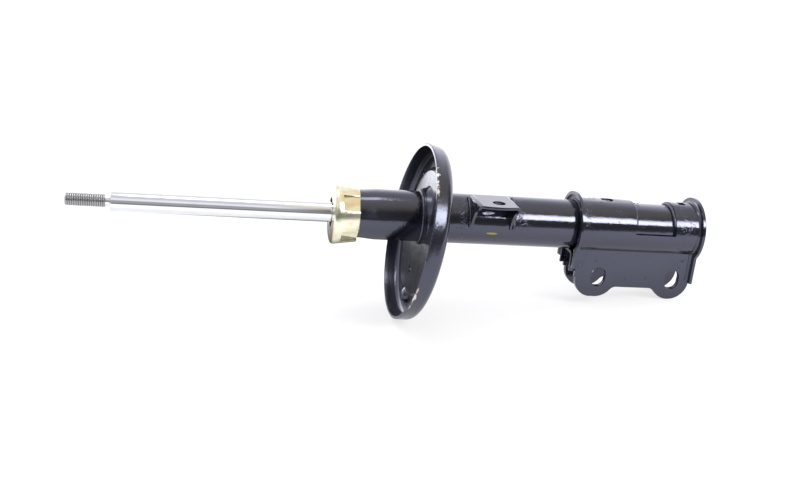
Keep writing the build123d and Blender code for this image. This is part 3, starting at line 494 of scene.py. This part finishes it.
rod_points, rod_faces = skin(rod_rings())
rod = new_piece(
    "rod_with_threaded_stud", rod_points, rod_faces, "rod", "rod_chrome",
    LOOKS["rod_chrome"], LOOKS["stud_steel"], smooth=40)
for face in rod.data.polygons:
    if (Vector(face.center) - ORIGIN).dot(AXIS) / MM < STUD_X1:
        face.material_index = 1
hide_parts("piston_rod")


# ---- weld beads with their ripples

TUBE_R = 27.5
RIPPLE_PITCH, RIPPLE_SWELL = 1.9, 0.12              # length of a ripple, and its share of the bead's size
BEAD_STEP = 0.35


def bead(name, node, sections, seed):
    """Bead along a corner: sections are (corner, leg on one face, leg on the other, share of full size)."""
    shift = random.Random(seed).uniform(0, 50)
    rows = []
    travelled = 0.0
    last = sections[0][0]
    for corner, leg_a, leg_b, share in sections:
        travelled += (corner - last).length / MM
        last = corner
        phase = (travelled / RIPPLE_PITCH) % 1.0
        ripple = math.sqrt(max(0.0, 1 - (2 * phase - 1) ** 2))
        wobble = noise.noise(Vector((travelled * 0.11 + shift, 0, 0)))
        size = (1 - RIPPLE_SWELL + RIPPLE_SWELL * ripple + 0.1 * wobble) * share
        ring = [corner]
        for k in range(9):
            a = math.pi / 2 * k / 8
            bulge = 0.86 + 0.2 * math.sin(2 * a)
            ring.append(corner + (leg_a * math.cos(a) + leg_b * math.sin(a)) * size * bulge)
        rows.append(ring)
    points, faces = skin(rows)
    obj = new_piece(name, points, faces, "housing", "black_weld", LOOKS["black_weld"], smooth=50)
    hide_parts(node)


def ring_bead(name, node, x, sense, size, start, end, height, seed):
    """Bead round the tube from one turn to another, in the corner with a face square to the tube at x."""
    steps = max(24, int(abs(end - start) * TUBE_R * math.pi / 180 / BEAD_STEP))
    whole = end - start >= 360
    sections = []
    for i in range(steps + 1):
        turn = start + (end - start) * i / steps
        share = 1.0 if whole else min(1.0, 0.3 + min(i, steps - i) * 0.12)
        corner = place(x, TUBE_R, turn)
        out = place(x, TUBE_R + 1, turn) - corner
        sections.append((corner, AXIS * sense * size * MM, out * height, share))
    bead(name, node, sections, seed)


SEAT_WELDS_X0, SEAT_WELDS_X1 = along_damper("seat_welds")
COLLAR_X = SEAT_WELDS_X0 + 3.4
LINK_X0, LINK_X1 = along_damper("link_bracket")
CLEVIS_X0, CLEVIS_X1 = along_damper("clevis_bracket")
FLARE_LENGTH = 5.4                                  # of the clevis's flared ends
WINDOW_X0, WINDOW_X1 = 31.5, 79.0
PLUG_X, CLEVIS_SKIN_R = 3.3, 30.8
# name, node, x, side of the face, size along the tube, first and last turn, height, seed
for arguments in (
        ("weld_seat_front", "seat_welds", COLLAR_X, -1, 2.8, 0, 360, 2.4, 3),
        ("weld_seat_rear", "seat_welds", SEAT_WELDS_X1 - 3.8, 1, 3.6, 0, 360, 2.2, 4),
        ("weld_link_front", "link_bracket_welds", LINK_X0, -1, 3.0, 13, 95, 2.2, 5),
        ("weld_link_rear", "link_bracket_welds", LINK_X1, 1, 3.8, 13, 95, 3.8, 6),
        ("weld_clevis_front", "clevis_welds", CLEVIS_X0 + FLARE_LENGTH, -1, 4.4, -120, 120, 2.2, 7),
        ("weld_clevis_rear", "clevis_welds", CLEVIS_X1 - FLARE_LENGTH, 1, 4.4, -120, 120, 2.2, 8),
        ("weld_window_front", "clevis_welds", WINDOW_X0, 1, 3.0, -70, 70, 3.0, 9),
        ("weld_window_rear", "clevis_welds", WINDOW_X1, -1, 3.0, -70, 70, 3.0, 10)):
    ring_bead(*arguments)


def plug_weld():
    """Weld puddle in the clevis's round hole: sunk at its rim, with a low rippled dome inside."""
    hole_r, base, top = 6.9, 27.7, 29.3             # heights are radii from the damper's axis
    steps, around = 15, 48
    rows = [(hole_r, base)]
    for i in range(steps):
        r = hole_r * (1 - i / (steps - 0.7))
        rows.append((r, max(base, top + 0.28 * math.cos(r * 2.2) - 1.3 * (r / hole_r) ** 4)))
    rings = []
    for r, height in rows:
        ring = []
        for j in range(around):
            a = 2 * math.pi * j / around
            x, y = PLUG_X + r * math.cos(a), r * math.sin(a)
            ring.append(ORIGIN + (AXIS * x + RISE * math.sqrt(height**2 - y**2) - SIDE * y) * MM)
        rings.append(ring)
    points, faces = skin(rings)
    obj = new_piece("weld_plug", points, faces, "housing", "black_weld", LOOKS["black_weld"], smooth=60)
    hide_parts("clevis_welds")


plug_weld()


# ---- weld spatter

def blob(centre, out, size, rng):
    """Low round droplet stuck to a surface: rings of six points up to its top."""
    side_a = out.orthogonal().normalized()
    side_b = out.cross(side_a)
    points = []
    for spread, lift in ((1.0, -0.15), (0.92, 0.25), (0.55, 0.6)):
        for k in range(6):
            a = math.pi / 3 * k + spread
            across = side_a * math.cos(a) + side_b * math.sin(a)
            points.append(centre + across * size * spread + out * size * lift)
    points.append(centre + out * size * (0.7 + 0.1 * rng.random()))
    faces = [tuple(range(6))[::-1]]
    for row in (0, 6):
        faces += [(row + k, row + (k + 1) % 6, row + 6 + (k + 1) % 6, row + 6 + k) for k in range(6)]
    faces += [(12 + k, 12 + (k + 1) % 6, 18) for k in range(6)]
    return points, faces


def spatter(name, spots, seed):
    """Droplets round the damper: spots are (x, its spread, surface's radius, turn, its spread, count)."""
    rng = random.Random(seed)
    points, faces = [], []
    for x, x_spread, radius, turn, turn_spread, count in spots:
        for _ in range(count):
            at_x = x + rng.gauss(0, x_spread)
            at_turn = turn + rng.gauss(0, turn_spread)
            centre = place(at_x, radius, at_turn)
            out = (place(at_x, radius + 1, at_turn) - centre).normalized()
            size = rng.uniform(0.35, 0.85) * MM
            some, sides = blob(centre, out, size, rng)
            faces += [tuple(i + len(points) for i in side) for side in sides]
            points += some
    new_piece(name, points, faces, "housing", "black_weld", LOOKS["black_weld"], smooth=70)


spatter("weld_spatter", [
    (LINK_X1 + 7.0, 3.0, TUBE_R, 60, 16, 34), (LINK_X0 - 8.0, 3.0, TUBE_R, 70, 18, 30),
    (SEAT_WELDS_X1 + 8.0, 3.5, TUBE_R, 60, 60, 40), (COLLAR_X - 7.0, 2.0, TUBE_R, 0, 90, 16),
    (PLUG_X - 12.0, 5.0, CLEVIS_SKIN_R, 20, 22, 26), (WINDOW_X0 + 7.0, 2.0, TUBE_R, 25, 25, 16),
    (WINDOW_X1 - 7.0, 2.0, TUBE_R, 25, 25, 14), (CLEVIS_X0 + 10.0, 3.5, CLEVIS_SKIN_R, 42, 9, 44),
    (PLUG_X + 9.0, 5.0, CLEVIS_SKIN_R, 47, 6, 26)], seed=21)


# ---- inspection mark dabbed on the tube

def paint_dab():
    """Dab of yellow paint marker on the tube: a short broken stroke, a tenth of a millimetre thick."""
    p = Paint("yellow_marker")
    tone = p.mix(p.noise(400, 4, 0.6), (0.62, 0.56, 0.05), (0.4, 0.36, 0.04))
    p.use(Base_Color=tone, Roughness=p.blend(p.noise(700, 3, 0.5), 0.35, 0.6))
    p.bump((p.noise(900, 3, 0.5), 0.00002))
    rng = random.Random(12)
    x0, x1, turn, half_turn = -138.5, -126.5, 106.0, 2.4
    under, over = TUBE_R - 0.05, TUBE_R + 0.08
    steps = 40
    rings = []
    for i in range(steps + 1):
        x = x0 + (x1 - x0) * i / steps
        half = half_turn * math.sin(math.pi * i / steps) ** 0.4 * (0.7 + 0.5 * rng.random()) + 0.3
        t0, t1 = turn - half, turn + half
        rings.append([place(x, under, t0), place(x, over, t0), place(x, over, t1), place(x, under, t1)])
    points, faces = skin(rings)
    new_piece("inspection_dab", points, faces, "housing", "black_paint", p.material, smooth=60)


paint_dab()


# ---- rounded edges of the pressed pieces

for name, width in (
        ("bump_stop_cap", 0.45), ("spring_seat", 0.5), ("link_bracket", 0.5), ("clevis_bracket", 0.5),
        ("clevis_inner_plate", 0.4), ("outer_tube", 0.3)):
    soften(frame["nodes"][name], width)


# ---- floor, backdrop, lights and camera

def only_seen(tree):
    """1 for what the camera sees, straight or in a reflection or through glass, and 0 for light it casts."""
    path = tree.nodes.new("ShaderNodeLightPath")
    total = path.outputs["Is Camera Ray"]
    for name in ("Is Glossy Ray", "Is Transmission Ray"):
        node = tree.nodes.new("ShaderNodeMath")
        node.operation = "MAXIMUM"
        tree.links.new(total, node.inputs[0])
        tree.links.new(path.outputs[name], node.inputs[1])
        total = node.outputs[0]
    return total


def height_ramp(tree, height, stops):
    """Colour by a height or depth from 0 to 1: stops are (position, colour)."""
    ramp = tree.nodes.new("ShaderNodeValToRGB")
    tree.links.new(height, ramp.inputs[0])
    points = ramp.color_ramp.elements
    while len(points) < len(stops):
        points.new(0.5)
    for point, (where, colour) in zip(points, stops):
        point.position = where
        point.color = (*colour, 1)
    return ramp.outputs[0]


def mixed(tree, share, a, b):
    """Colour a where share is 0 and b where it is 1."""
    mix = tree.nodes.new("ShaderNodeMix")
    mix.data_type = "RGBA"
    tree.links.new(share, mix.inputs[0])
    for socket, value in ((mix.inputs[6], a), (mix.inputs[7], b)):
        if hasattr(value, "is_output"):
            tree.links.new(value, socket)
        else:
            socket.default_value = (*value, 1)
    return mix.outputs[2]


def between(tree, value, low, high, at_low=0.0, at_high=1.0):
    """at_low where value is low, at_high where it is high, and straight between them."""
    node = tree.nodes.new("ShaderNodeMapRange")
    node.inputs["From Min"].default_value = low
    node.inputs["From Max"].default_value = high
    node.inputs["To Min"].default_value = at_low
    node.inputs["To Max"].default_value = at_high
    tree.links.new(value, node.inputs["Value"])
    return node.outputs[0]


FLOOR_HALF = 6.0
FLOOR_GLOW = 0.70                                   # near the object, and 1 from GLOW_FAR on
GLOW_NEAR, GLOW_FAR = 0.7, 1.6
FLOOR_MATT = (0.33, 0.33, 0.34)
FLOOR_NEAR, FLOOR_FAR = -0.8, 0.7                   # y of the first and the last of these rows
FLOOR_ROWS = [
    (0.0, (0.16, 0.16, 0.16)), (0.113, (0.16, 0.16, 0.16)), (0.18, (0.9, 0.9, 0.9)),
    (0.30, (1.25, 1.25, 1.3)), (0.44, (1.2, 1.2, 1.25)), (0.493, (0.95, 0.95, 0.95)),
    (0.75, (1.0, 1.0, 1.0)), (0.90, (1.5, 1.5, 1.55)), (1.0, (1.6, 1.6, 1.65))]
SHADOW_AT = (-0.30, 0.24, -0.034)                   # the seat's shadow behind it
SHADOW_CORE, SHADOW_EDGE = 0.14, 0.26               # radii
SHADOW_TONE = (0.10, 0.10, 0.10)


def distance(tree, where, point):
    """Distance in metres from a fixed point."""
    node = tree.nodes.new("ShaderNodeVectorMath")
    node.operation = "DISTANCE"
    tree.links.new(where, node.inputs[0])
    node.inputs[1].default_value = point
    return node.outputs["Value"]


def floor_in_reflections(tree, where):
    """How bright the floor is by place in what the object reflects: the camera sees it plain."""
    split = tree.nodes.new("ShaderNodeSeparateXYZ")
    tree.links.new(where, split.inputs[0])
    depth = between(tree, split.outputs["Y"], FLOOR_NEAR, FLOOR_FAR)
    clear = between(tree, distance(tree, where, SHADOW_AT), SHADOW_CORE, SHADOW_EDGE)
    shade = mixed(tree, clear, SHADOW_TONE, height_ramp(tree, depth, FLOOR_ROWS))
    path = tree.nodes.new("ShaderNodeLightPath")
    return mixed(tree, path.outputs["Is Camera Ray"], shade, (1.0, 1.0, 1.0))


def floor():
    """Pale matt floor that glows a little where it is seen, so that it fades into the backdrop."""
    z = cad_box[0][2]
    corners = [(x * FLOOR_HALF, y * FLOOR_HALF, z) for x, y in ((-1, -1), (1, -1), (1, 1), (-1, 1))]
    mesh = bpy.data.meshes.new("studio_floor")
    mesh.from_pydata(corners, [], [(0, 1, 2, 3)])
    obj = bpy.data.objects.new("studio_floor", mesh)
    bpy.context.scene.collection.objects.link(obj)
    material = bpy.data.materials.new("studio_floor")
    material.use_nodes = True
    tree = material.node_tree
    tree.nodes.clear()
    out = tree.nodes.new("ShaderNodeOutputMaterial")
    coords = tree.nodes.new("ShaderNodeTexCoord")
    matt = tree.nodes.new("ShaderNodeBsdfDiffuse")
    shade = floor_in_reflections(tree, coords.outputs["Object"])
    tree.links.new(mixed(tree, shade, (0.0, 0.0, 0.0), FLOOR_MATT), matt.inputs["Color"])
    glow = tree.nodes.new("ShaderNodeEmission")
    from_origin = distance(tree, coords.outputs["Object"], (0, 0, 0))
    strength = tree.nodes.new("ShaderNodeMath")
    strength.operation = "MULTIPLY"
    tree.links.new(between(tree, from_origin, GLOW_NEAR, GLOW_FAR, FLOOR_GLOW, 1.0), strength.inputs[0])
    tree.links.new(only_seen(tree), strength.inputs[1])
    tree.links.new(strength.outputs[0], glow.inputs["Strength"])
    tree.links.new(shade, glow.inputs["Color"])
    both = tree.nodes.new("ShaderNodeAddShader")
    tree.links.new(matt.outputs[0], both.inputs[0])
    tree.links.new(glow.outputs[0], both.inputs[1])
    tree.links.new(both.outputs[0], out.inputs[0])
    obj.data.materials.append(material)


floor()


# The studio by height, from the floor's level to overhead: in front, its left side is paler than its right.
ROOM_LEFT = [
    (0.0, (0.40, 0.40, 0.42)), (0.38, (0.40, 0.40, 0.42)), (0.48, (0.95, 0.95, 0.97)),
    (0.68, (1.0, 1.0, 1.02)), (0.80, (0.70, 0.70, 0.74)), (0.90, (0.68, 0.68, 0.72)),
    (0.97, (0.95, 0.95, 0.97)), (1.0, (1.0, 1.0, 1.0))]
ROOM_RIGHT = [
    (0.0, (0.15, 0.145, 0.135)), (0.45, (0.15, 0.145, 0.13)), (0.75, (0.78, 0.70, 0.55)),
    (0.9, (0.95, 0.90, 0.80)), (1.0, (1.05, 1.02, 0.95))]
BACKDROP = [
    (0.0, (1.85, 1.85, 1.95)), (0.45, (1.85, 1.85, 1.95)), (0.75, (1.0, 1.0, 1.05)),
    (0.9, (0.88, 0.88, 0.93)), (1.0, (0.9, 0.9, 0.95))]


def sky():
    """White where the camera looks, and the studio for what lights the object and shows in it."""
    world = bpy.data.worlds.new("studio")
    bpy.context.scene.world = world
    world.use_nodes = True
    tree = world.node_tree
    tree.nodes.clear()
    out = tree.nodes.new("ShaderNodeOutputWorld")
    white = tree.nodes.new("ShaderNodeBackground")
    room = tree.nodes.new("ShaderNodeBackground")
    for shader in (white, room):
        shader.inputs["Strength"].default_value = 1.0
    white.inputs["Color"].default_value = (1, 1, 1, 1)
    coords = tree.nodes.new("ShaderNodeTexCoord")
    split = tree.nodes.new("ShaderNodeSeparateXYZ")
    tree.links.new(coords.outputs["Generated"], split.inputs[0])
    left = height_ramp(tree, split.outputs["Z"], ROOM_LEFT)
    right = height_ramp(tree, split.outputs["Z"], ROOM_RIGHT)
    front = mixed(tree, between(tree, split.outputs["X"], -0.02, 0.12), left, right)
    back = height_ramp(tree, split.outputs["Z"], BACKDROP)
    whole = mixed(tree, between(tree, split.outputs["Y"], 0.1, 0.4), front, back)
    tree.links.new(whole, room.inputs["Color"])
    path = tree.nodes.new("ShaderNodeLightPath")
    choose = tree.nodes.new("ShaderNodeMixShader")
    tree.links.new(path.outputs["Is Camera Ray"], choose.inputs[0])
    tree.links.new(room.outputs[0], choose.inputs[1])
    tree.links.new(white.outputs[0], choose.inputs[2])
    tree.links.new(choose.outputs[0], out.inputs[0])


sky()


def softbox(name, at, target, width, height, radiance, fade=None):
    """Rectangular light of this radiance: fade is where it is dark and where it is full, by height."""
    light = bpy.data.lights.new(name, "AREA")
    light.shape = "RECTANGLE"
    light.size = width
    light.size_y = height
    light.energy = radiance * math.pi * width * height
    if fade:
        light.use_nodes = True
        tree = light.node_tree
        glow = next(n for n in tree.nodes if n.type == "EMISSION")
        place_on = tree.nodes.new("ShaderNodeNewGeometry")
        split = tree.nodes.new("ShaderNodeSeparateXYZ")
        tree.links.new(place_on.outputs["Parametric"], split.inputs[0])
        tree.links.new(between(tree, split.outputs["Y"], *fade), glow.inputs["Strength"])
    obj = bpy.data.objects.new(name, light)
    obj.location = at
    obj.rotation_euler = (Vector(target) - Vector(at)).to_track_quat("-Z", "Y").to_euler()
    bpy.context.scene.collection.objects.link(obj)


softbox("strip_light", (1.03, -1.21, 1.0), (1.03, 0, 0.07), 1.14, 0.73, 12.0, fade=(1.0, 0.6))
softbox("overhead", (-0.4, 0.0, 1.55), (-0.4, 0.0, 0.0), 1.0, 0.34, 4.2)
softbox("back_card", (-0.50, 0.72, 0.17), (-0.22, 0.0, 0.12), 0.30, 0.34, 2.3)


VIEW_AZIMUTH, VIEW_ELEVATION, VIEW_ROLL = -9.6, 19.4, -0.7
VIEW_DISTANCE = 1.1539
VIEW_X, VIEW_RISE = -226.2, -37.5                   # where it points, along the damper and square to it
SENSOR_WIDTH, FOCAL_SHARE = 36.0, 1050 / 800        # the focal length over the picture's width, in pixels


def camera():
    """Long lens from the photograph's side: a little towards the stud and a little above."""
    azimuth, elevation, roll = map(math.radians, (VIEW_AZIMUTH, VIEW_ELEVATION, VIEW_ROLL))
    target = ORIGIN + (AXIS * VIEW_X + RISE * VIEW_RISE) * MM
    level = Vector((math.sin(azimuth), -math.cos(azimuth), 0))
    back = level * math.cos(elevation) + Vector((0, 0, math.sin(elevation)))
    right = Vector((math.cos(azimuth), math.sin(azimuth), 0))
    up = back.cross(right)
    rolled_right = right * math.cos(roll) + up * math.sin(roll)
    rolled_up = up * math.cos(roll) - right * math.sin(roll)
    data = bpy.data.cameras.new("camera")
    data.sensor_width = SENSOR_WIDTH
    data.lens = SENSOR_WIDTH * FOCAL_SHARE
    data.clip_end = 50
    obj = bpy.data.objects.new("camera", data)
    bpy.context.scene.collection.objects.link(obj)
    turn = Matrix((rolled_right, rolled_up, back)).transposed().to_4x4()
    turn.translation = target + back * VIEW_DISTANCE
    obj.matrix_world = turn
    bpy.context.scene.camera = obj


camera()
bpy.context.scene.view_settings.view_transform = "Standard"
